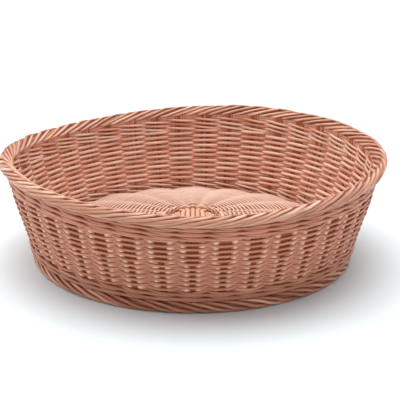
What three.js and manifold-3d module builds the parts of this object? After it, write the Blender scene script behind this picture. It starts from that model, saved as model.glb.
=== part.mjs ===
// A shallow round basket woven from cane. A cross of ten sticks fans out through a domed woven
// base, thirty-nine stakes stand round it, and the side is woven on them between two bands of
// waling. A thick rolled border closes the top and a plaited border makes the foot.
// Millimetres, +Z up. The origin is on the ground, under the middle of the basket.

import * as THREE from 'three';
import { mergeVertices } from 'three/addons/utils/BufferGeometryUtils.js';
import Module from 'manifold-3d';

const wasm = await Module();
wasm.setup();

// Overall size
const RIM_RADIUS = 200;
const BORDER_TOP = 110.5;
const BORDER_MIDDLE = 103;
const FOOT_RADIUS = 168;
const FOOT_WIDTH = 12.5;
const GAP = 0.35;

// The side leans out by FLARE over the first FLARE_HEIGHT, slowly, then faster, then slowly.
const FLARE = 22;
const FLARE_HEIGHT = 100;
const SIDE_THICKNESS = 7.6;

// Heights of the bands, from the ground up
const FOOT_TOP = 12.6;
const UPSETT_BOTTOM = 14.3;
const UPSETT_TOP = 24;
const WEAVE_TOP = 83;
const WALE_TOP = 99;
const SIDE_SPANS = 4;

// The rim came out a little uneven: it is tilted, and has a saddle and a three-fold ripple.
const TILT_LIFT = 2;
const SADDLE_LIFT = 3.9;
const SADDLE_ANGLE = THREE.MathUtils.degToRad(28);
const RIPPLE_LIFT = 2;
const RIPPLE_ANGLE = THREE.MathUtils.degToRad(83);

// Stakes
const STAKES = 39;
const STAKE_PITCH = 2 * Math.PI / STAKES;
const STAKE_WIDTH = 5;
const STAKE_THICKNESS = 3.2;
const FRONT = -Math.PI / 2;

// Base
const STICKS_EACH_WAY = 5;
const STICK_WIDTH = 3.4;
const STICK_SPACING = 5.2;
const STICK_FAN = THREE.MathUtils.degToRad(18);
const STICK_STATIONS = [10, 18.5, 27, 40, 60, 84, 108, 132, 157];
const CROSS_RADIUS = 18.5;
const PAIRING_INNER = 27.6;
const PAIRING_OUTER = 34;
const BASE_RADIUS = 158;
const BASE_THICKNESS = 6.8;
const BASE_MIDDLE = 16.6;
const CROWN = 21;
const BASE_RINGS = 5;
const BASE_SEGMENTS = 8 * STICKS_EACH_WAY;

const SMOOTH_SEGMENTS = 2 * STAKES;

const COLOURS = {
  border: { color: 0xd09a7e, roughness: 0.45, metalness: 0 },
  weave: { color: 0xbe7f64, roughness: 0.5, metalness: 0 },
  wale: { color: 0xb4765c, roughness: 0.5, metalness: 0 },
  foot: { color: 0xa0624a, roughness: 0.55, metalness: 0 },
  base: { color: 0xe6bfa4, roughness: 0.5, metalness: 0 },
  stake: { color: 0x8f553c, roughness: 0.6, metalness: 0 },
};

const basket = new THREE.Group();

function sideRadius(height) {
  return FOOT_RADIUS + FLARE * THREE.MathUtils.smoothstep(height, 0, FLARE_HEIGHT);
}

function rimLift(angle) {
  const tilt = TILT_LIFT * Math.cos(angle);
  const saddle = SADDLE_LIFT * Math.cos(2 * (angle - SADDLE_ANGLE));
  const ripple = RIPPLE_LIFT * Math.cos(3 * (angle - RIPPLE_ANGLE));
  return tilt + saddle + ripple;
}

function baseRise(radius) {
  return CROWN * (1 - (radius / BASE_RADIUS) ** 2);
}

// Where two layers of sticks cross they part by half a stick each, and outside they lie level.
function crossRise(radius, layer) {
  const parting = (STICK_WIDTH + GAP) / 2;
  return layer * parting * (1 - THREE.MathUtils.clamp((radius - CROSS_RADIUS) / 8, 0, 1));
}

function moveVertices(geometry, newHeight) {
  const position = geometry.attributes.position;
  for (let i = 0; i < position.count; i += 1) {
    const x = position.getX(i);
    const y = position.getY(i);
    position.setZ(i, newHeight(x, y, position.getZ(i)));
  }
  return geometry;
}

function followRim(geometry) {
  return moveVertices(geometry, (x, y, z) => {
    const share = Math.max(0, (z - UPSETT_TOP) / (BORDER_MIDDLE - UPSETT_TOP));
    return z + share * rimLift(Math.atan2(y, x));
  });
}

function followBase(geometry, layer = 0) {
  return moveVertices(geometry, (x, y, z) => {
    const radius = Math.hypot(x, y);
    return z + baseRise(radius) + crossRise(radius, layer);
  });
}

// A ring about the Z axis, from the closed outline of its section as [radius, height] pairs.
function ring(outline, segments) {
  const points = outline.map(([radius, height]) => new THREE.Vector2(radius, height));
  points.push(points[0].clone());
  const startAngle = FRONT + Math.PI / 2 + STAKE_PITCH / 2;
  return new THREE.LatheGeometry(points, segments, startAngle).rotateX(Math.PI / 2);
}

function toSolid(geometry) {
  const bare = new THREE.BufferGeometry();
  bare.setAttribute('position', geometry.attributes.position);
  bare.setIndex(geometry.index);
  const merged = mergeVertices(bare, 1e-4);
  const triVerts = new Uint32Array(merged.index.array);
  const vertProperties = new Float32Array(merged.attributes.position.array);
  return new wasm.Manifold(new wasm.Mesh({ numProp: 3, vertProperties, triVerts }));
}

function fromSolid(solid) {
  const mesh = solid.getMesh();
  const geometry = new THREE.BufferGeometry();
  geometry.setAttribute('position', new THREE.BufferAttribute(mesh.vertProperties, 3));
  geometry.setIndex(new THREE.BufferAttribute(mesh.triVerts, 1));
  return geometry;
}

function cutAll(geometry, cutters) {
  return fromSolid(cutters.reduce((solid, cutter) => solid.subtract(toSolid(cutter)), toSolid(geometry)));
}

function addPiece(name, geometry, look) {
  geometry.computeVertexNormals();
  const piece = new THREE.Mesh(geometry, new THREE.MeshStandardMaterial(look));
  piece.name = name;
  basket.add(piece);
}

function numbered(name, index) {
  return `${name}_${String(index + 1).padStart(2, '0')}`;
}

function heightsBetween(low, high, spans) {
  return Array.from({ length: spans + 1 }, (_, i) => THREE.MathUtils.lerp(low, high, i / spans));
}

const STAKE_HEIGHTS = [UPSETT_BOTTOM, ...heightsBetween(UPSETT_TOP, WEAVE_TOP, SIDE_SPANS), WALE_TOP];

// One upright stake, or the channel that the weaving leaves for it when margin is more than 0.
function stakeGeometry(index, margin) {
  const heights = [...STAKE_HEIGHTS];
  heights[0] -= 2 * margin;
  heights[heights.length - 1] += 2 * margin;
  const depth = (SIDE_THICKNESS - STAKE_THICKNESS) / 2;
  const outside = heights.map((z) => new THREE.Vector2(sideRadius(z) - depth + margin, z));
  const inside = heights.map((z) => new THREE.Vector2(sideRadius(z) - depth - STAKE_THICKNESS - margin, z));
  const outline = new THREE.Shape([...outside, ...inside.reverse()]);
  const width = STAKE_WIDTH + 2 * margin;
  const geometry = new THREE.ExtrudeGeometry(outline, { depth: width, bevelEnabled: false });
  geometry.rotateX(Math.PI / 2);
  geometry.translate(0, width / 2, 0);
  geometry.rotateZ(FRONT + index * STAKE_PITCH);
  return followRim(geometry);
}

function addStakes() {
  for (let i = 0; i < STAKES; i += 1) {
    addPiece(numbered('stake', i), stakeGeometry(i, 0), COLOURS.stake);
  }
}

// A woven band of the side between two heights, with a channel for every stake.
function sideBand(low, high, spans, bulge) {
  const heights = heightsBetween(low, high, spans);
  const outside = heights.map((z) => [sideRadius(z) + bulge, z]);
  const inside = heights.map((z) => [sideRadius(z) - SIDE_THICKNESS - bulge, z]);
  const band = followRim(ring([...outside, ...inside.reverse()], STAKES));
  const channels = Array.from({ length: STAKES }, (_, i) => stakeGeometry(i, GAP));
  return cutAll(band, channels);
}

function addSide() {
  addPiece('upsett_wale', sideBand(UPSETT_BOTTOM, UPSETT_TOP - GAP, 1, 0.9), COLOURS.wale);
  addPiece('side_weave', sideBand(UPSETT_TOP, WEAVE_TOP, SIDE_SPANS, 0), COLOURS.weave);
  addPiece('upper_wale', sideBand(WEAVE_TOP + GAP, WALE_TOP, 1, 0.9), COLOURS.wale);
}

// A rolled collar that sits on the wale and hangs a little over its outer edge.
function addTopBorder() {
  const seat = WALE_TOP + 4 * GAP;
  const inner = sideRadius(WALE_TOP) - SIDE_THICKNESS - 1;
  const lip = sideRadius(WALE_TOP) + 2;
  const outline = [
    [inner + 1, seat],
    [lip, seat],
    [lip + 0.4, seat - 2.4],
    [lip + 4, seat - 2.7],
    [RIM_RADIUS - 0.8, BORDER_MIDDLE - 3.5],
    [RIM_RADIUS, BORDER_MIDDLE + 0.7],
    [RIM_RADIUS - 2, BORDER_MIDDLE + 5],
    [RIM_RADIUS - 6.5, BORDER_TOP],
    [RIM_RADIUS - 11.5, BORDER_TOP - 0.8],
    [inner + 2, BORDER_MIDDLE + 4.5],
    [inner, BORDER_MIDDLE + 1],
  ];
  addPiece('top_border', followRim(ring(outline, SMOOTH_SEGMENTS)), COLOURS.border);
}

// A plaited ring with a flat tread, which is all that touches the ground.
function addFootBorder() {
  const inner = FOOT_RADIUS - FOOT_WIDTH;
  const outline = [
    [inner + 2.5, 0],
    [FOOT_RADIUS - 2.5, 0],
    [FOOT_RADIUS, 4],
    [FOOT_RADIUS, FOOT_TOP - 3],
    [FOOT_RADIUS - 3, FOOT_TOP],
    [inner + 2, FOOT_TOP],
    [inner, FOOT_TOP - 3],
    [inner, 3.5],
  ];
  addPiece('foot_border', ring(outline, SMOOTH_SEGMENTS), COLOURS.foot);
}

// A stick's middle line seen from above: parallel to its neighbours through the cross, then fanned.
function stickLine(rank) {
  const half = STICK_STATIONS.map((distance) => {
    if (distance < CROSS_RADIUS) return new THREE.Vector2(distance, rank * STICK_SPACING);
    const angle = rank * STICK_FAN;
    return new THREE.Vector2(distance * Math.cos(angle), distance * Math.sin(angle));
  });
  const mirrored = half.map((point) => new THREE.Vector2(-point.x, point.y)).reverse();
  return [...mirrored, new THREE.Vector2(0, rank * STICK_SPACING), ...half];
}

// The line moved sideways by a distance, square to its direction at each point.
function offsetLine(line, distance) {
  return line.map((point, i) => {
    const before = line[Math.max(0, i - 1)];
    const after = line[Math.min(line.length - 1, i + 1)];
    const direction = after.clone().sub(before).normalize();
    return new THREE.Vector2(point.x - direction.y * distance, point.y + direction.x * distance);
  });
}

// A bar of square section whose middle follows a line seen from above.
function bentBar(line, size) {
  const spans = line.length - 1;
  const left = offsetLine(line, size / 2);
  const right = offsetLine(line, -size / 2);
  const geometry = new THREE.BoxGeometry(1, size, size, spans, 1, 1);
  const position = geometry.attributes.position;
  for (let i = 0; i < position.count; i += 1) {
    const station = Math.round((position.getX(i) + 0.5) * spans);
    const point = position.getY(i) > 0 ? left[station] : right[station];
    position.setXY(i, point.x, point.y);
  }
  return geometry;
}

// One base stick, or its channel through the base weave when margin is more than 0.
function stickGeometry(index, margin) {
  const across = index >= STICKS_EACH_WAY;
  const rank = (index % STICKS_EACH_WAY) - (STICKS_EACH_WAY - 1) / 2;
  const line = stickLine(rank);
  line[0].multiplyScalar(1 + margin / 10);
  line[line.length - 1].multiplyScalar(1 + margin / 10);
  const geometry = bentBar(line, STICK_WIDTH + 2 * margin);
  geometry.translate(0, 0, BASE_MIDDLE);
  geometry.rotateZ(across ? Math.PI / 2 : 0);
  return followBase(geometry, across ? 1 : -1);
}

function baseDisc(inner, outer, rings) {
  const radii = heightsBetween(inner, outer, rings);
  const half = BASE_THICKNESS / 2;
  const below = radii.map((radius) => [radius, BASE_MIDDLE - half]);
  const above = radii.map((radius) => [radius, BASE_MIDDLE + half]);
  const disc = followBase(ring([...below, ...above.reverse()], BASE_SEGMENTS));
  const channels = Array.from({ length: 2 * STICKS_EACH_WAY }, (_, i) => stickGeometry(i, GAP));
  return cutAll(disc, channels);
}

function addBase() {
  for (let i = 0; i < 2 * STICKS_EACH_WAY; i += 1) {
    addPiece(numbered('base_stick', i), stickGeometry(i, 0), COLOURS.stake);
  }
  addPiece('slath_pairing', baseDisc(PAIRING_INNER, PAIRING_OUTER, 1), COLOURS.base);
  addPiece('base_weave', baseDisc(PAIRING_OUTER + GAP, BASE_RADIUS, BASE_RINGS), COLOURS.base);
}

addFootBorder();
addBase();
addStakes();
addSide();
addTopBorder();

export default basket;
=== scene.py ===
# The looks of the cane basket: every rod, stake and border strand is swept along its own woven path.
import math

import bpy
import numpy as np
from mathutils import Matrix, Vector


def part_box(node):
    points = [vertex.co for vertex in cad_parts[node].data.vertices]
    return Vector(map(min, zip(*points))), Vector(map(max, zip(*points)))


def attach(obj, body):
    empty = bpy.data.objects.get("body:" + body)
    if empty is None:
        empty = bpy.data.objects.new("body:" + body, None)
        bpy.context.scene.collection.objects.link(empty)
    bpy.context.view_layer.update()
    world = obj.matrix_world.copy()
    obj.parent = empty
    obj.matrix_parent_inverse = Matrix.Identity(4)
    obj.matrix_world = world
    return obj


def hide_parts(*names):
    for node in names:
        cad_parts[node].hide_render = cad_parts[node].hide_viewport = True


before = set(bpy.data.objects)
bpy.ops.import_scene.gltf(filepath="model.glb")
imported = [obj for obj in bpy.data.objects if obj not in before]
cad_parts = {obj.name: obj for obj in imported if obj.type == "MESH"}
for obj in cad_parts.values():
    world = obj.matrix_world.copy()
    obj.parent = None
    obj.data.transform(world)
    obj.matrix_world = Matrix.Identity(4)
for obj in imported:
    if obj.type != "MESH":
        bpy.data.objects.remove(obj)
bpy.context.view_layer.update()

chance = np.random.default_rng(39)
tau = 2 * math.pi
front = -math.pi / 2

# shape shared by all the pieces, in metres
form = {
    "rimRadius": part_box("top_border")[1].y,
    "footRadius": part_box("foot_border")[1].y,
    "baseRadius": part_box("base_weave")[1].y,
    "flare": 0.022,
    "flareHeight": 0.1,
    "borderMiddle": 0.103,
    "weaveBottom": 0.024,
    "weaveTop": 0.083,
    "wallMiddle": 0.0039,  # from the outside of the side to the middle of the stakes
    "tiltLift": 0.002,
    "saddleLift": 0.0039,
    "saddleAngle": math.radians(28),
    "rippleLift": 0.002,
    "rippleAngle": math.radians(83),
    "stakes": 39,
    "stakeStray": 0.0007,  # how far a stake may stand from its even place
    "baseMiddle": 0.0166,
    "crown": 0.021,
    "sticksEachWay": 5,
}
pitch = tau / form["stakes"]
stray = chance.uniform(-1, 1, form["stakes"]) * form["stakeStray"] / form["footRadius"]


def smooth(t):
    t = np.clip(t, 0, 1)
    return t * t * (3 - 2 * t)


def sideRadius(z):
    return form["footRadius"] + form["flare"] * smooth(z / form["flareHeight"])


def sideLean(z):
    step = 0.0005
    return np.arctan((sideRadius(z + step) - sideRadius(z - step)) / (2 * step))


def rimLift(angle):
    tilt = form["tiltLift"] * np.cos(angle)
    saddle = form["saddleLift"] * np.cos(2 * (angle - form["saddleAngle"]))
    ripple = form["rippleLift"] * np.cos(3 * (angle - form["rippleAngle"]))
    return tilt + saddle + ripple


def onRim(z, angle):
    share = (z - form["weaveBottom"]) / (form["borderMiddle"] - form["weaveBottom"])
    return z + np.maximum(share, 0) * rimLift(angle)


def baseRise(radius):
    return form["crown"] * (1 - (radius / form["baseRadius"]) ** 2)


def around(angle, radius, z):
    return np.stack([radius * np.cos(angle), radius * np.sin(angle), z + 0 * angle], -1)


def outward(angle, tilt=0.0):
    level = np.cos(tilt)
    return np.stack([level * np.cos(angle), level * np.sin(angle), np.sin(tilt) + 0 * angle], -1)


def wander(t, size, wave):
    # a slow random drift along a rod, made of three waves
    total = 0 * t
    for k in (1.0, 1.7, 2.9):
        total = total + np.sin(t * tau * k / wave + chance.uniform(0, tau)) / (1 + k)
    return size * total


def softClip(x):
    # straight through the middle, level past 1
    return x / (1 + np.abs(x) ** 4) ** 0.25


def hump(x, middle, width):
    return np.exp(-(((x - middle) / width) ** 2))


def unit(v):
    return v / np.maximum(np.linalg.norm(v, axis=-1, keepdims=True), 1e-12)


def circle(count):
    return tau * np.arange(count) / count


def upward(path):
    return np.array([[0, 0, 1.0]]) + 0 * path


class RodSet:
    # gathers swept rods into one mesh

    def __init__(self, sides=8):
        self.sides, self.count = sides, 0
        self.points, self.faces, self.tones, self.depths, self.grains = [], [], [], [], []

    def add(self, path, normal, wide, thick, tone=0.0, depth=0.0, closed=False, taper=0):
        # wide runs across the normal and thick along it; tone and shading may hold a pair, one for each
        # face, so that a lit and a shaded face can be painted
        n = len(path)
        if closed:
            tangent = unit(np.roll(path, -1, 0) - np.roll(path, 1, 0))
        else:
            tangent = unit(np.gradient(path, axis=0))
        out = unit(normal - (normal * tangent).sum(-1, keepdims=True) * tangent)
        side = np.cross(tangent, out)
        turn = np.arange(self.sides) * tau / self.sides
        ends = np.ones(n)
        if taper:
            ends[:taper] = np.sqrt(np.linspace(0.2, 1, taper))
            ends[-taper:] = ends[:taper][::-1]
        wide = (np.broadcast_to(wide, n) * ends)[:, None, None] / 2
        thick = (np.broadcast_to(thick, n) * ends)[:, None, None] / 2
        ring = path[:, None] + np.cos(turn)[None, :, None] * out[:, None] * thick
        ring = ring + np.sin(turn)[None, :, None] * side[:, None] * wide
        self.points.append(ring.reshape(-1, 3))
        self.keep(path, turn, tone, depth)
        self.skin(n, closed)
        self.count += n * self.sides

    def keep(self, path, turn, tone, depth):
        # what the material reads: length along the rod, place round it, tone, which also carries painted
        # highlights, and the amount of painted shade
        n = len(path)
        along = np.concatenate([[0], np.cumsum(np.linalg.norm(np.diff(path, axis=0), axis=1))])
        grain = np.zeros((n, self.sides, 3))
        grain[..., 0] = (along + chance.uniform(0, 50))[:, None]
        grain[..., 1] = np.cos(turn)[None]
        grain[..., 2] = np.sin(turn)[None]
        self.grains.append(grain.reshape(-1, 3))
        share = (0.5 + 0.5 * np.cos(turn))[None]
        for value, rows in ((tone, self.tones), (depth, self.depths)):
            face, back = value if isinstance(value, tuple) else (value, value)
            face, back = np.broadcast_to(face, n)[:, None], np.broadcast_to(back, n)[:, None]
            rows.append((face * share + back * (1 - share)).ravel())

    def skin(self, n, closed):
        spans = np.arange(n if closed else n - 1)[:, None]
        i = spans * self.sides
        j = (spans + 1) % n * self.sides
        a = np.arange(self.sides)[None]
        b = (a + 1) % self.sides
        quads = np.stack([i + a, i + b, j + b, j + a], -1).reshape(-1, 4) + self.count
        self.faces.extend(quads.tolist())
        if not closed:
            last = self.count + (n - 1) * self.sides
            self.faces.append([self.count + k for k in range(self.sides)][::-1])
            self.faces.append([last + k for k in range(self.sides)])

    def build(self, name, material, slot, *nodes):
        mesh = bpy.data.meshes.new(name)
        mesh.from_pydata(np.concatenate(self.points).tolist(), [], self.faces)
        for label, kind, field, rows in (
            ("tone", "FLOAT", "value", self.tones),
            ("depth", "FLOAT", "value", self.depths),
            ("grain", "FLOAT_VECTOR", "vector", self.grains),
        ):
            values = np.concatenate(rows).astype(np.float32).ravel()
            mesh.attributes.new(label, kind, "POINT").data.foreach_set(field, values)
        mesh.polygons.foreach_set("use_smooth", [True] * len(mesh.polygons))
        mesh.materials.append(material)
        mesh.update()
        piece = bpy.data.objects.new(name, mesh)
        bpy.context.scene.collection.objects.link(piece)
        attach(piece, "root")
        if nodes:
            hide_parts(*nodes)


def feed(tree, socket, value):
    if isinstance(value, Wire):
        tree.links.new(value.socket, socket)
    else:
        socket.default_value = value


class Wire:
    # a socket that can be used in sums

    def __init__(self, tree, socket):
        self.tree, self.socket = tree, socket

    def maths(self, operation, first, second=0.0):
        node = self.tree.nodes.new("ShaderNodeMath")
        node.operation = operation
        feed(self.tree, node.inputs[0], first)
        feed(self.tree, node.inputs[1], second)
        return Wire(self.tree, node.outputs[0])

    def __add__(self, other):
        return self.maths("ADD", self, other)

    def __radd__(self, other):
        return self.maths("ADD", other, self)

    def __sub__(self, other):
        return self.maths("SUBTRACT", self, other)

    def __rsub__(self, other):
        return self.maths("SUBTRACT", other, self)

    def __mul__(self, other):
        return self.maths("MULTIPLY", self, other)

    def __rmul__(self, other):
        return self.maths("MULTIPLY", other, self)

    def __pow__(self, other):
        return self.maths("POWER", self, other)

    def __abs__(self):
        return self.maths("ABSOLUTE", self)


class Finish:
    # one material and its nodes

    def __init__(self, name):
        self.material = bpy.data.materials.new(name)
        self.material.use_nodes = True
        self.tree = self.material.node_tree
        self.tree.nodes.clear()

    def node(self, kind, settings, inputs, output=0):
        made = self.tree.nodes.new("ShaderNode" + kind)
        for key, value in settings.items():
            setattr(made, key, value)
        for key, value in inputs.items():
            feed(self.tree, made.inputs[key], value)
        return Wire(self.tree, made.outputs[output])

    def attribute(self, label, output="Fac"):
        return self.node("Attribute", {"attribute_name": label}, {}, output)

    def noise(self, place, scale, detail):
        stretched = self.node("Mapping", {}, {"Vector": place, "Scale": scale})
        return self.node("TexNoise", {}, {"Vector": stretched, "Scale": 1.0, "Detail": detail})

    def blend(self, share, first, second):
        settings = {"data_type": "RGBA", "clamp_factor": True}
        return self.node("Mix", settings, {0: share, 6: first, 7: second}, 2)

    def close(self, shader):
        out = self.tree.nodes.new("ShaderNodeOutputMaterial")
        self.tree.links.new(shader.socket, out.inputs["Surface"])
        return self.material


# the scales are per metre along the rod, then for the two places round it
caneGrain = {
    "fibres": (60, 2.2, 2.2), "fibreDetail": 3.0, "patches": (14, 0.4, 0.4), "patchDetail": 2.0,
    "highlightFrom": 0.7, "highlightGain": 0.9, "shadeLeast": 0.7, "shadePatchy": 0.6,
    "roughSwing": 0.25, "bump": 0.25, "bumpDepth": 0.0004,
}


def cane(name, look):
    # peeled cane: long fibres and slow changes of tone along the rod, with painted shade where rods press
    # together and in gaps, and a painted highlight where the tone runs high
    finish = Finish(name)
    grain = finish.attribute("grain", "Vector")
    tone = finish.attribute("tone")
    depth = finish.attribute("depth")
    across = finish.node("SeparateXYZ", {}, {"Vector": grain}, "Z")
    fibres = finish.noise(grain, caneGrain["fibres"], caneGrain["fibreDetail"])
    patches = finish.noise(grain, caneGrain["patches"], caneGrain["patchDetail"])
    varied = (patches - 0.5) * look["patchy"] + (fibres - 0.5) * look["fibrous"] + tone * look["varied"]
    colour = finish.blend(0.5 + varied, look["dark"], look["light"])
    # painted highlight: where the tone runs high the colour goes towards the highlight colour, for lit
    # faces and beads
    highlight = (tone - caneGrain["highlightFrom"]) * caneGrain["highlightGain"]
    colour = finish.blend(highlight, colour, look["highlight"])
    # painted shade: the rod's sides where it presses on its neighbours, and the shading attribute in gaps
    # and recesses, darken the colour towards the shaded colour, a little patchily
    edge = abs(across) ** look["edgeSharpness"] * look["edgeShade"]
    shade = (edge + depth) * (caneGrain["shadeLeast"] + caneGrain["shadePatchy"] * patches)
    colour = finish.blend(shade, colour, look["shaded"])
    bump = finish.node("Bump", {}, {
        "Strength": caneGrain["bump"],
        "Distance": caneGrain["bumpDepth"],
        "Height": fibres,
    })
    shader = finish.node("BsdfPrincipled", {}, {
        "Base Color": colour,
        "Roughness": look["roughness"] + (fibres - 0.5) * caneGrain["roughSwing"],
        "Normal": bump,
        "Specular IOR Level": look["sheen"],
    })
    return finish.close(shader)


def makeCanes():
    side = {
        "light": (0.81, 0.36, 0.23, 1), "dark": (0.53, 0.2, 0.115, 1), "shaded": (0.3, 0.08, 0.035, 1),
        "highlight": (0.99, 0.67, 0.51, 1), "patchy": 0.9, "fibrous": 0.8, "varied": 0.4, "edgeShade": 0.55,
        "edgeSharpness": 3.0, "roughness": 0.36, "sheen": 0.5,
    }
    # what each of the others has of its own
    changes = {
        "border": {"light": (0.78, 0.42, 0.29, 1), "dark": (0.5, 0.21, 0.125, 1),
                   "highlight": (0.9, 0.58, 0.43, 1), "edgeShade": 0.75},
        "base": {"light": (0.77, 0.5, 0.385, 1), "dark": (0.64, 0.385, 0.28, 1), "edgeShade": 0.32},
        "foot": {"light": (0.79, 0.36, 0.23, 1), "dark": (0.43, 0.16, 0.09, 1), "edgeShade": 0.7},
        "stick": {"light": (0.85, 0.52, 0.38, 1), "dark": (0.66, 0.34, 0.22, 1)},
        "tie": {"light": (0.56, 0.27, 0.15, 1), "dark": (0.34, 0.125, 0.06, 1)},
        "stake": {"light": (0.5, 0.18, 0.085, 1), "dark": (0.37, 0.1, 0.04, 1),
                  "edgeShade": 0.1, "roughness": 0.6, "sheen": 0.2},
    }
    looks = {"side": side} | {name: side | change for name, change in changes.items()}
    return {name: cane(name + "Cane", look) for name, look in looks.items()}


# A stray or a drift in brackets is its size and the length of its wave in rounds.
weaver = {
    "wide": 0.0025, "innerExtra": 0.0012, "thick": 0.0026, "rounds": 21, "steps": 12, "swing": 0.0029,
    "lean": -0.2, "halfStake": 0.0022, "halfThick": 0.0056, "thickFrom": 12, "innerRate": 1.6,
    "strayOut": (0.0002, 0.37), "strayUp": (0.0003, 0.83), "strayWide": (0.00012, 0.21),
    "drift": (0.7, 0.13), "outerShadeTone": -0.7, "innerFaceLight": 0.2, "paintedInnerLight": 1.3, "innerShadeEase": -0.25,
}
sideCore = {
    "bottom": 0.0135, "top": 0.101, "tall": 0.0029, "spacing": 0.8, "thick": 0.0022, "out": 0.0001,
    "steps": 10, "bead": 0.0035, "beadWide": 0.0023, "beadRise": 0.001, "beadHighlight": 2.1,
    "drift": (0.5, 1 / 9), "innerFaceLight": 1.3, "shade": 0.7, "shadeWide": 0.0025, "walingShade": 0.5,
}


def stakePlace(angle):
    # an angle counted in stakes from the front one, with the stakes where they really stand
    even = (angle - front) / pitch
    turns = np.floor(even / form["stakes"] + 0.5 / form["stakes"])
    marks = np.arange(-1, form["stakes"] + 2)
    spots = marks + stray[marks % form["stakes"]] / pitch
    return np.interp(even - turns * form["stakes"], spots, marks) + turns * form["stakes"]


def sidePlace(angle, z, offset):
    # a point a given distance outside the middle of the side
    radius = sideRadius(z) - form["wallMiddle"]
    lean = sideLean(z)
    return around(angle, radius + offset * np.cos(lean), onRim(z - offset * np.sin(lean), angle))


def stakeHalf(thickened):
    # half the width of a stake, which has more rods beside it in the upper part of the side
    return weaver["halfStake"] + (weaver["halfThick"] - weaver["halfStake"]) * thickened


def layCore(canes):
    # Thin rings in the middle of the side, seen between the outer rods, which close the gaps.
    # Their outer faces carry a painted highlight beside each stake and painted shade half way to the next
    # and where the wales are; their inner faces are painted light.
    rods = RodSet(6)
    angle = front + circle(form["stakes"] * sideCore["steps"])
    place = stakePlace(angle)
    for z in np.arange(sideCore["bottom"], sideCore["top"], sideCore["tall"] * sideCore["spacing"]):
        gap = sideRadius(z) * pitch
        near = np.abs(place - np.round(place)) * gap
        woven = form["weaveBottom"] < z < form["weaveTop"]
        beside = stakeHalf(z > stakeRods["extraFrom"]) + sideCore["bead"]
        bead = hump(near, beside, sideCore["beadWide"]) * woven
        # painted highlight beside each stake, then painted shade half way to the next stake, or all round
        # by the wales
        tone = sideCore["beadHighlight"] * bead + wander(angle / tau, *sideCore["drift"])
        shade = sideCore["shade"] * hump(near, gap / 2, sideCore["shadeWide"])
        shade = shade if woven else sideCore["walingShade"]
        path = sidePlace(angle, z + 0 * angle, sideCore["out"] + sideCore["beadRise"] * bead)
        rods.add(path, outward(angle), sideCore["tall"], sideCore["thick"],
                 (tone, sideCore["innerFaceLight"]), (shade, 0.0), closed=True)
    rods.build("sideCore", canes["side"], "side_cane")


def weaveSide(canes):
    turns = weaver["rounds"]
    count = turns * form["stakes"] * weaver["steps"]
    angle = front + tau * turns * np.arange(count) / (count - 1)
    row = (angle - front) / tau
    z = form["weaveBottom"] + (form["weaveTop"] - form["weaveBottom"]) / turns * row
    place = stakePlace(angle)
    stake = np.round(place)
    gap = sideRadius(z) * pitch
    near = np.abs(place - stake) * gap
    half = stakeHalf(smooth(row - weaver["thickFrom"]))
    swing = np.cos(math.pi / 2 * np.clip((near - half) / (gap / 2 - half), 0, 1))
    swing = swing * np.where(stake % 2 == 0, 1, -1)
    offset = weaver["swing"] * swing + wander(row, *weaver["strayOut"])
    z = z + wander(row, *weaver["strayUp"])
    inner = smooth(0.5 - swing * weaver["innerRate"])
    wide = weaver["wide"] + weaver["innerExtra"] * inner + wander(row, *weaver["strayWide"])
    drift = wander(row, *weaver["drift"])
    # painted light: outer faces darker, inner faces lighter, lightest where the rod runs on the inside, and
    # the inner faces get less painted shade
    tone = (drift + weaver["outerShadeTone"], drift + weaver["innerFaceLight"] + weaver["paintedInnerLight"] * inner)
    path = sidePlace(angle, z, offset)
    rods = RodSet()
    rods.add(path, outward(angle, weaver["lean"]), wide, weaver["thick"],
             tone, (0.0, weaver["innerShadeEase"]), taper=3)
    rods.build("wovenSide", canes["side"], "side_cane", "side_weave")
    layCore(canes)
    print("side woven", len(rods.faces))


wale = {
    "size": 0.0031, "climb": 0.0017, "swing": 0.0031, "lean": -0.2, "steps": 10,
    "upper": (0.0855, 0.0903, 0.0951), "upsett": (0.0166, 0.0214),
    "strayOut": (0.00025, 1 / 3), "strayUp": (0.0003, 1 / 3),
    "tone": (-1.9, -0.7), "drift": (0.7, 1 / 9), "paintedInnerLight": 2.6,
    "turnIn": 0.33,  # half the way, in stakes, that a rod takes to pass through the side
    "steepTo": 0.55,  # how many stakes past the dip it is at its highest
}


def twistRound(rods, z, shift):
    # three rods, each in front of two stakes and behind one, stepping down as they go
    angle = front + circle(form["stakes"] * wale["steps"])
    up, down = wale["steepTo"], 3 - wale["steepTo"]
    for j in range(3):
        passed = (stakePlace(angle) - j - shift) % 3
        near = np.minimum(passed, 3 - passed)
        out = softClip((near - 0.5) / wale["turnIn"])
        step = np.interp(passed, [0, up, down, 3], [0, 1, -1, 0])
        offset = wale["swing"] * out + wander(angle / tau, *wale["strayOut"])
        rise = z + wale["climb"] * step + wander(angle / tau, *wale["strayUp"])
        tone = chance.uniform(*wale["tone"]) + wander(angle / tau, *wale["drift"])
        path = sidePlace(angle, rise, offset)
        # painted light: the inner faces are lighter than the outer ones
        rods.add(path, outward(angle, wale["lean"]), wale["size"], wale["size"],
                 (tone, tone + wale["paintedInnerLight"]), closed=True)


def twistWales(canes):
    for name, look, node, heights in (
        ("twistedUpperWale", "side", "upper_wale", wale["upper"]),
        ("twistedUpsettWale", "foot", "upsett_wale", wale["upsett"]),
    ):
        rods = RodSet()
        for i, z in enumerate(heights):
            twistRound(rods, z, i)
        rods.build(name, canes[look], "wale_cane", node)
    print("wales twisted")


stakeRods = {
    "size": 0.003, "widened": 1.35, "apart": 0.96, "bottom": 0.011, "extraFrom": 0.0565, "uneven": 0.002,
    "top": 0.1015, "steps": 26, "outerShadeTone": -1.2, "innerFaceLight": (0.5, 1.5), "outerShade": 0.4,
    "rods": ((-0.5, "bottom"), (0.5, "bottom"), (-1.5, "extraFrom"), (1.5, "extraFrom")),
}


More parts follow.
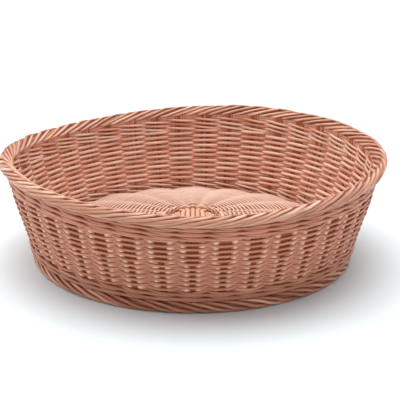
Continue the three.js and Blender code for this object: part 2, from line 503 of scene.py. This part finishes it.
def stakeUpright(angle, low, shift):
    z = np.linspace(low, stakeRods["top"], stakeRods["steps"])
    radius = sideRadius(z) - form["wallMiddle"]
    turn = angle + shift / radius
    return around(turn, radius, onRim(z, angle + 0 * z)), outward(turn)


def raiseStakes(canes):
    size = stakeRods["size"]
    for k in range(form["stakes"]):
        rods = RodSet()
        angle = front + k * pitch + stray[k]
        for place, start in stakeRods["rods"]:
            low = stakeRods[start] + chance.uniform(0, stakeRods["uneven"])
            path, normal = stakeUpright(angle, low, place * size * stakeRods["apart"])
            # painted light: the outer faces are dark with painted shade, the inner faces lighter
            tone = (stakeRods["outerShadeTone"], chance.uniform(*stakeRods["innerFaceLight"]))
            rods.add(path, normal, size * stakeRods["widened"], size, tone, (stakeRods["outerShade"], 0.0))
        rods.build("uprightStake%02d" % (k + 1), canes["stake"], "stake_cane", "stake_%02d" % (k + 1))
    print("stakes raised")


# The border's cut outline is in millimetres from its outermost edge and above its lip's bottom.
# Runs and waves are in stakes' pitches from a strand's start.
# Shares say how far round the outline it has come, as do the values that end in At, From, To or Over.
border = {
    "strands": 78, "size": 0.0034, "bottom": 0.0978, "steps": 50,
    "outline": [(-8.2, 0), (-4.2, 0.6), (-1.5, 2.6), (-0.6, 5.8), (-1.4, 9), (-3.6, 11.8), (-6, 12.7),
                (-9, 12), (-12.5, 9.9), (-15.5, 7.2), (-17.2, 4.6), (-17.4, 2.4)],
    "runs": [0, 2.4, 2.8, 3.3, 3.9],
    "shares": [-0.02, 0.49, 0.68, 0.82, 1.02],
    "strayStart": 0.12, "stray": (0.018, 3.0), "thick": (0.85, 1.05),
    "sink": (0.45, 0.7), "sinkUnder": 0.6, "tuckIn": 0.6, "tuckInTo": 0.05, "tuckInOver": 0.08,
    "tuckAway": 0.5, "tuckAwayFrom": 0.85, "tuckAwayOver": 0.2,
    "tone": (-1.1, 0.6), "drift": (0.5, 2.0), "underShadeTone": -0.4, "topHighlight": 1.1, "topAt": 0.5,
    "topOver": 0.12, "paintedInnerLight": 0.6, "innerFrom": 0.6, "innerOver": 0.15,
    "crossShade": (0.4, 1), "crossAt": 0.585, "crossOver": 0.022,
    "underShade": 0.15, "outerShade": 0.45, "outerTo": 0.45,
    "filling": 0.005, "fillings": 8, "fillingInset": 2.1, "fillingShade": 0.6,
}


def borderSection():
    # the border's cut outline from its lower outside edge, over the top, to its lower inside edge
    corners = np.array(border["outline"]) / 1000 + [form["rimRadius"], border["bottom"]]
    far = np.concatenate([[0], np.cumsum(np.linalg.norm(np.diff(corners, axis=0), axis=1))])
    return corners, far


def sectionAt(share, inset):
    # point and outward direction at a share of the way round the outline
    corners, far = borderSection()

    def place(at):
        return np.stack([np.interp(at, far, corners[:, 0]), np.interp(at, far, corners[:, 1])], -1)

    at = np.clip(share, -0.08, 1.08) * far[-1]
    step = far[-1] * 0.03
    along = unit(place(at + step) - place(at - step))
    normal = np.stack([along[:, 1], -along[:, 0]], -1)
    spot = place(at)
    return spot[:, 0] - inset * normal[:, 0], spot[:, 1] - inset * normal[:, 1], normal


def strandPlace(under):
    # how far round the outline a strand is at each step, and how many of its sizes deep
    run = np.linspace(0, border["runs"][-1], border["steps"])
    share = np.interp(run, border["runs"], border["shares"])
    share = np.convolve(np.pad(share, 4, mode="edge"), np.ones(9) / 9, "valid")
    share = share + wander(run, *border["stray"])
    sink = chance.uniform(*border["sink"]) + border["sinkUnder"] * under
    sink = sink + border["tuckIn"] * smooth((border["tuckInTo"] - share) / border["tuckInOver"])
    sink = sink + border["tuckAway"] * smooth((share - border["tuckAwayFrom"]) / border["tuckAwayOver"])
    return run, share, sink


def strandLook(run, share, under):
    # strands get a painted highlight along the top and painted light on the inside, and painted shade where
    # others cross them and where they lie under
    tone = chance.uniform(*border["tone"]) + wander(run, *border["drift"]) + border["underShadeTone"] * under
    tone = tone + border["topHighlight"] * hump(share, border["topAt"], border["topOver"])
    tone = tone + border["paintedInnerLight"] * smooth((share - border["innerFrom"]) / border["innerOver"])
    shade = chance.uniform(*border["crossShade"]) * hump(share, border["crossAt"], border["crossOver"])
    outer = border["outerShade"] * (share < border["outerTo"])
    return tone, shade + under * (border["underShade"] + outer)


def laySection(rods, angle, share, inset, size, tone, depth):
    radius, z, normal = sectionAt(share, inset)
    path = around(angle, radius, onRim(z, angle))
    direction = np.stack([normal[:, 0] * np.cos(angle), normal[:, 0] * np.sin(angle), normal[:, 1]], -1)
    rods.add(path, direction, size, size, tone, depth, taper=3)


def rollBorder(canes):
    size = border["size"]
    rods, lining = RodSet(10), RodSet()
    for k in range(2 * border["strands"]):
        # every other strand lies half hidden under its neighbours
        under = k % 2
        late = chance.uniform(-border["strayStart"], border["strayStart"])
        start = front + (k / 2 + late) * tau / border["strands"]
        run, share, sink = strandPlace(under)
        thick = size * chance.uniform(*border["thick"])
        tone, shade = strandLook(run, share, under)
        laySection(lining if under else rods, start + pitch * run, share, size * sink, thick, tone, shade)
    # dark filling rings under the strands, painted shade seen in the gaps between them
    fillings, filling = border["fillings"], border["filling"]
    for k in range(fillings):
        t = circle(form["stakes"] * 6)
        radius, z, normal = sectionAt(np.full(len(t), (k + 0.5) / fillings), size * border["fillingInset"])
        path = around(t, radius, onRim(z, t))
        lining.add(path, outward(t), filling, filling, 0.0, border["fillingShade"], closed=True)
    lining.build("borderLining", canes["border"], "border_cane")
    rods.build("rolledBorder", canes["border"], "border_cane", "top_border")
    print("border rolled", len(rods.faces), len(lining.faces))


# The foot's rods wind round a squarish ring, whose angles are in degrees from straight out.
foot = {
    "strands": 58, "size": 0.0036, "run": 3.5, "wide": 0.0115, "tall": 0.0128, "from": 110, "sweep": 310,
    "strayStart": 0.15, "steps": 40, "squareness": 0.8,
    "fillingWide": 0.0065, "fillingTall": 0.0075, "fillingShade": 0.9,
}


def squared(wave):
    return np.sign(wave) * np.abs(wave) ** foot["squareness"]


def plaitFoot(canes):
    size = foot["size"]
    middle = form["footRadius"] - foot["wide"] / 2
    rods = RodSet()
    for k in range(foot["strands"]):
        late = chance.uniform(-foot["strayStart"], foot["strayStart"])
        start = front + (k + late) * tau / foot["strands"]
        t = np.linspace(0, 1, foot["steps"])
        angle = start + foot["run"] * pitch * t
        turn = np.radians(foot["from"] - foot["sweep"] * t)
        across = (foot["wide"] - size) / 2 * squared(np.cos(turn))
        up = (foot["tall"] - size) / 2 * squared(np.sin(turn))
        direction = np.stack([np.cos(turn) * np.cos(angle), np.cos(turn) * np.sin(angle), np.sin(turn)], -1)
        path = around(angle, middle + across, foot["tall"] / 2 + up)
        rods.add(path, direction, size, size, chance.uniform(-1, 1), taper=3)
    # a dark filling ring inside the foot, painted shade seen in the gaps between the strands
    t = circle(form["stakes"] * 6)
    path = around(t, middle + 0 * t, foot["tall"] / 2)
    rods.add(path, outward(t), foot["fillingTall"], foot["fillingWide"],
             0.0, foot["fillingShade"], closed=True)
    rods.build("plaitedFoot", canes["foot"], "foot_cane", "foot_border")
    print("foot plaited")


# waves are counted in rows, two to a round
baseRods = {
    "stick": 0.0036, "spacing": 0.0052, "cross": 0.0185, "fan": math.radians(18), "slathSpread": 0.0015,
    "spreadOver": 0.012, "straightTo": 0.01, "bentFrom": 0.0135, "bend": (0.008, 0.014), "levelOver": 0.008,
    "tail": 0.0026, "tailFrom": 0.112, "tailUneven": 0.004, "tailApart": 0.0032, "tailPast": 0.001,
    "weaver": 0.0022, "flattened": 1.08, "rowPitch": 0.0025, "inner": 0.035, "swing": 0.0028,
    "halfStick": 0.002, "halfTails": 0.003, "widerFrom": (0.105, 0.01), "mostOfGap": 0.3,
    "strayUp": (0.0001, 0.4), "strayOut": (0.0002, 0.9), "drift": (0.8, 0.3),
}
baseCore = {
    "from": 0.008, "spacing": 0.0023, "wide": 0.0029, "thick": 0.001, "tone": -0.6, "shade": 0.12,
    "edgeShade": 0.6,
}
slath = {
    "tie": 0.0021, "rounds": 4, "inner": 0.0238, "rowPitch": 0.0024, "apart": 0.0008, "swing": 0.0026,
    "paler": 0.6,  # from one round to the next, after the first two
}


def stickPath(rank, across):
    fan = baseRods["fan"] * rank
    near = np.linspace(0, baseRods["straightTo"], 4)
    distance = np.concatenate([near, np.linspace(baseRods["bentFrom"], form["baseRadius"], 40)])
    bendFrom, bendOver = baseRods["bend"]
    bend = smooth((distance - bendFrom) / bendOver)
    straight = np.stack([distance, np.full(len(distance), rank * baseRods["spacing"])], -1)
    fanned = np.stack([distance * math.cos(fan), distance * math.sin(fan)], -1)
    half = straight * (1 - bend[:, None]) + fanned * bend[:, None]
    mirrored = half[:0:-1] * [-1, 1]
    line = np.concatenate([mirrored, half])
    radius = np.linalg.norm(line, axis=1)
    level = smooth((radius - baseRods["cross"]) / baseRods["levelOver"])
    layer = (1 if across else -1) * baseRods["stick"] / 2 * (1 - level)
    z = form["baseMiddle"] + baseRise(radius) + layer
    if across:
        line = np.stack([-line[:, 1], line[:, 0]], -1)
    return np.concatenate([line, z[:, None]], 1)


def laySticks(canes):
    each = form["sticksEachWay"]
    for i in range(2 * each):
        path = stickPath(i % each - (each - 1) / 2, i >= each)
        rods = RodSet()
        radius = np.linalg.norm(path[:, :2], axis=1)
        spread = 1 - smooth((radius - baseRods["cross"]) / baseRods["spreadOver"])
        wide = baseRods["stick"] + baseRods["slathSpread"] * spread
        rods.add(path, upward(path), wide, baseRods["stick"], chance.uniform(-0.5, 0.5))
        rods.build("fannedStick%02d" % (i + 1), canes["stick"], "stick_cane", "base_stick_%02d" % (i + 1))
    print("sticks laid")


def layTails(canes):
    # the stakes' pushed-in ends, one on each side of every spoke
    spokes = 4 * form["sticksEachWay"]
    size = baseRods["tail"]
    tails = RodSet()
    for j in range(spokes):
        for side in (-1, 1):
            inner = baseRods["tailFrom"] + chance.uniform(0, baseRods["tailUneven"])
            radius = np.linspace(inner, form["baseRadius"] + baseRods["tailPast"], 12)
            angle = j * tau / spokes + side * baseRods["tailApart"] / radius
            path = around(angle, radius, form["baseMiddle"] + baseRise(radius))
            tails.add(path, upward(path), size, size, chance.uniform(-0.5, 0.5))
    tails.build("stakeTails", canes["stick"], "stake_cane")


def weaveBase(canes):
    spokes = 4 * form["sticksEachWay"]
    spokePitch = tau / spokes
    widerFrom, widerOver = baseRods["widerFrom"]
    rods = RodSet()
    rounds = int((form["baseRadius"] - baseRods["inner"]) / baseRods["rowPitch"] / 2)
    for j in range(2):
        count = rounds * spokes * 8
        angle = tau * rounds * np.arange(count) / (count - 1) + j * math.pi
        row = (angle - j * math.pi) / tau * 2 + j
        radius = baseRods["inner"] + row * baseRods["rowPitch"]
        place = angle / spokePitch
        spoke = np.round(place)
        gap = radius * spokePitch
        near = np.abs(place - spoke) * gap
        # a spoke is wider where the tails lie beside the stick
        half = baseRods["halfStick"] + baseRods["halfTails"] * smooth((radius - widerFrom) / widerOver)
        half = np.minimum(half, gap * baseRods["mostOfGap"])
        swing = softClip((gap / 2 - near) / (gap / 2 - half)) * np.where((spoke + j) % 2 == 0, 1, -1)
        z = form["baseMiddle"] + baseRise(radius) + baseRods["swing"] * swing
        z = z + wander(row, *baseRods["strayUp"])
        path = around(angle, radius + wander(row, *baseRods["strayOut"]), z)
        size = baseRods["weaver"]
        rods.add(path, upward(path), size * baseRods["flattened"], size,
                 wander(row, *baseRods["drift"]), taper=3)
    rods.build("wovenBase", canes["base"], "base_cane", "base_weave")
    print("base woven", len(rods.faces))


def layBaseCore(canes):
    # thin rings in the middle of the base, out to the side, which close the gaps between its rods; they are
    # darker, as painted shade seen in the gaps, and darker still past the base's edge
    rods = RodSet(6)
    angle = circle(120)
    for reach in np.arange(baseCore["from"], form["footRadius"] - form["wallMiddle"], baseCore["spacing"]):
        radius = reach + 0 * angle
        path = around(angle, radius, form["baseMiddle"] + baseRise(radius))
        shade = baseCore["shade"] + baseCore["edgeShade"] * (reach > form["baseRadius"])
        rods.add(path, upward(path), baseCore["wide"], baseCore["thick"],
                 baseCore["tone"], shade, closed=True)
    rods.build("baseCore", canes["base"], "base_cane")


def tieSlath(canes):
    # the first rounds, two rods that swap over and under between the sticks
    spokes = 4 * form["sticksEachWay"]
    angle = circle(400)
    rods = RodSet()
    for j in range(2):
        for turn in range(slath["rounds"]):
            radius = slath["inner"] + slath["rowPitch"] * turn + 0 * angle
            swing = np.cos(angle * spokes / 2 + math.pi * (j + turn))
            z = form["baseMiddle"] + baseRise(radius) + slath["swing"] * swing
            path = around(angle, radius + slath["apart"] * j, z)
            tone = chance.uniform(-0.5, 0.5) + slath["paler"] * max(turn - 1, 0)
            rods.add(path, upward(path), slath["tie"], slath["tie"], tone, closed=True)
    rods.build("slathTies", canes["tie"], "base_cane", "slath_pairing")
    print("slath tied")


view = {"distance": 1.2515, "elevation": 0.3658, "yaw": 0.006123, "pitch": 0.04259, "roll": -0.0026,
        "lens": 105.93, "farthest": 80}


def placeCamera():
    up = Vector((0, math.sin(view["elevation"]), math.cos(view["elevation"])))
    ahead = Vector((0, math.cos(view["elevation"]), -math.sin(view["elevation"])))
    right = Vector((1, 0, 0))
    where = -ahead * view["distance"]
    c, s = math.cos(view["yaw"]), math.sin(view["yaw"])
    right, ahead = right * c - ahead * s, right * s + ahead * c
    c, s = math.cos(view["pitch"]), math.sin(view["pitch"])
    up, ahead = up * c - ahead * s, up * s + ahead * c
    c, s = math.cos(view["roll"]), math.sin(view["roll"])
    right, up = right * c - up * s, right * s + up * c
    camera = bpy.data.objects.new("camera", bpy.data.cameras.new("camera"))
    camera.data.lens = view["lens"]
    camera.data.clip_end = view["farthest"]
    turn = Matrix((right, up, -ahead)).transposed()
    camera.matrix_world = Matrix.Translation(where) @ turn.to_4x4()
    bpy.context.scene.collection.objects.link(camera)
    bpy.context.scene.camera = camera


lights = {
    "key": {"kind": "SUN", "place": (-0.25, 0.88, 3.4), "angle": 1.1, "power": 3.2},
    "window": {"kind": "AREA", "place": (-2.2, 0.1, 1.0), "size": 1.2, "power": 11},
    "face": {"kind": "AREA", "place": (1.9, -1.4, 1.7), "size": 1.5, "power": 8},
}
studio = {"sky": 0.46, "paper": (0.765, 0.84, 0.868, 1), "reach": 40}


def placeLights():
    for name, lamp in lights.items():
        data = bpy.data.lights.new(name, lamp["kind"])
        data.energy = lamp["power"]
        if lamp["kind"] == "SUN":
            data.angle = lamp["angle"]
        else:
            data.shape = "DISK"
            data.size = lamp["size"]
        light = bpy.data.objects.new(name, data)
        light.location = lamp["place"]
        light.rotation_euler = (-Vector(lamp["place"])).to_track_quat("-Z", "Y").to_euler()
        bpy.context.scene.collection.objects.link(light)
    world = bpy.data.worlds.new("studio")
    world.use_nodes = True
    world.node_tree.nodes["Background"].inputs["Color"].default_value = (1, 1, 1, 1)
    world.node_tree.nodes["Background"].inputs["Strength"].default_value = studio["sky"]
    bpy.context.scene.world = world
    bpy.context.scene.view_settings.view_transform = "Standard"


def layFloor():
    mesh = bpy.data.meshes.new("studioFloor")
    reach = studio["reach"]
    corners = [(-reach, -reach, 0), (reach, -reach, 0), (reach, reach, 0), (-reach, reach, 0)]
    mesh.from_pydata(corners, [], [(0, 1, 2, 3)])
    paper = Finish("paper")
    shader = paper.node("BsdfPrincipled", {}, {"Base Color": studio["paper"], "Roughness": 0.9})
    mesh.materials.append(paper.close(shader))
    floor = bpy.data.objects.new("studioFloor", mesh)
    bpy.context.scene.collection.objects.link(floor)


canes = makeCanes()
weaveSide(canes)
twistWales(canes)
raiseStakes(canes)
rollBorder(canes)
plaitFoot(canes)
laySticks(canes)
layTails(canes)
weaveBase(canes)
layBaseCore(canes)
tieSlath(canes)
placeCamera()
placeLights()
layFloor()
